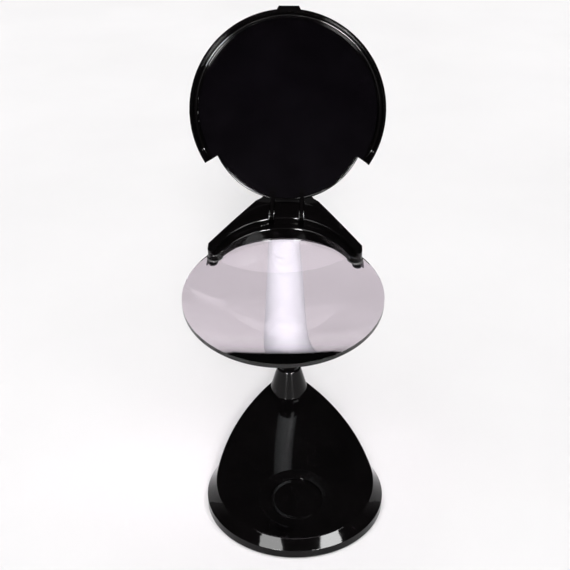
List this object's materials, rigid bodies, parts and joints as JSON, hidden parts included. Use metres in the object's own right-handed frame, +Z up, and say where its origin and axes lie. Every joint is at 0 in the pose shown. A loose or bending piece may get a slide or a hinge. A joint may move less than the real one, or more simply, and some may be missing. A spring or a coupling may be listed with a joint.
{
  "type": "desk magnifier",
  "caption": "Hands-free low vision magnifier: clear round lens in a fin-shaped bracket on a bending neck, wedge base with a push button, and a hinged protective lid.",
  "frame": {"origin": "on the resting plane, at the centre of the middle foot, under the centre of the base's round front", "axes": "+Z up, +Y towards the neck at the rear, +X to the right as seen from the front"},
  "size_m": [0.1303, 0.1939, 0.3264],
  "materials": {
    "gloss_black": "high-gloss moulded black ABS",
    "lid_gloss": "mirror-gloss black panel",
    "satin_black": "fine-textured moulded black ABS",
    "rubber_black": "matte",
    "zinc_steel": "zinc-plated",
    "black_steel": "blackened",
    "nickel": "nickel-plated spring steel",
    "cell_wrap": "printed film wrap, no lettering",
    "board_green": "solder mask",
    "board_white": "white solder mask",
    "neck_metal": "pale smooth sleeve over a metal hose",
    "wire_pvc": "PVC insulation",
    "lens_clear": "clear polished acrylic",
    "led_epoxy": "phosphor white"
  },
  "bodies": {
    "base": {"base_casing": "gloss_black", "base_cover": "satin_black", "battery_door": "satin_black", "cover_screws": "zinc_steel", "door_screw": "zinc_steel", "rubber_feet": "rubber_black", "ballast_plate": "zinc_steel", "battery_cradle": "satin_black", "battery_front": "cell_wrap", "battery_middle": "cell_wrap", "battery_rear": "cell_wrap", "battery_contacts": "nickel", "battery_springs": "nickel", "circuit_board": "board_green", "switch_body": "satin_black", "board_parts": "satin_black", "board_screws": "zinc_steel", "neck_boot": "gloss_black", "neck_nut": "zinc_steel"},
    "button": {"power_button": "gloss_black"},
    "neck_foot": {"neck_ferrule": "gloss_black", "gooseneck_lower": "neck_metal", "wire_lower": "wire_pvc"},
    "neck_middle": {"gooseneck_middle": "neck_metal", "wire_middle": "wire_pvc"},
    "neck_upper": {"gooseneck_upper": "neck_metal", "wire_upper": "wire_pvc"},
    "head": {"neck_collar": "gloss_black", "bracket": "gloss_black", "bracket_cover": "satin_black", "lens": "lens_clear", "lens_washers": "rubber_black", "lens_screws": "black_steel", "bracket_screws": "zinc_steel", "lamp_board": "board_white", "lamp_leds": "led_epoxy", "lamp_window": "lens_clear", "hinge_pin": "zinc_steel", "hinge_washers": "zinc_steel"},
    "lid": {"lid_shell": "gloss_black", "lid_panel": "lid_gloss"}
  },
  "joints": [
    {"name": "power_press", "type": "slide", "parent": "base", "child": "button", "axis": [0, 0.1392, -0.9903], "range_m": [0, 0.0015], "stiffness_N_per_m": 400, "springref_m": -0.0003},
    {"name": "neck_turn", "type": "hinge", "parent": "base", "child": "neck_foot", "pos_m": [0, 0.089, 0.0546], "axis": [0, 0, 1], "range_deg": [-80, 80]},
    {"name": "neck_bend_low", "type": "hinge", "parent": "neck_foot", "child": "neck_middle", "pos_m": [0, 0.089, 0.08784], "axis": [0.9969, -0.0785, 0], "range_deg": [-14, 14]},
    {"name": "neck_bend_high", "type": "hinge", "parent": "neck_middle", "child": "neck_upper", "pos_m": [-0.00071, 0.07996, 0.13633], "axis": [0.9969, -0.0785, 0], "range_deg": [-14, 14]},
    {"name": "head_tilt", "type": "hinge", "parent": "neck_upper", "child": "head", "pos_m": [-0.00142, 0.07093, 0.18482], "axis": [0.9969, -0.0785, 0], "range_deg": [-32, 20]},
    {"name": "lid_fold", "type": "hinge", "parent": "head", "child": "lid", "pos_m": [-0.00441, 0.03303, 0.20314], "axis": [0.9969, -0.0785, 0], "range_deg": [0, 119.7]}
  ],
  "couplings": [
    {"joint": "neck_bend_high", "follows": "neck_bend_low", "ratio": 1}
  ]
}
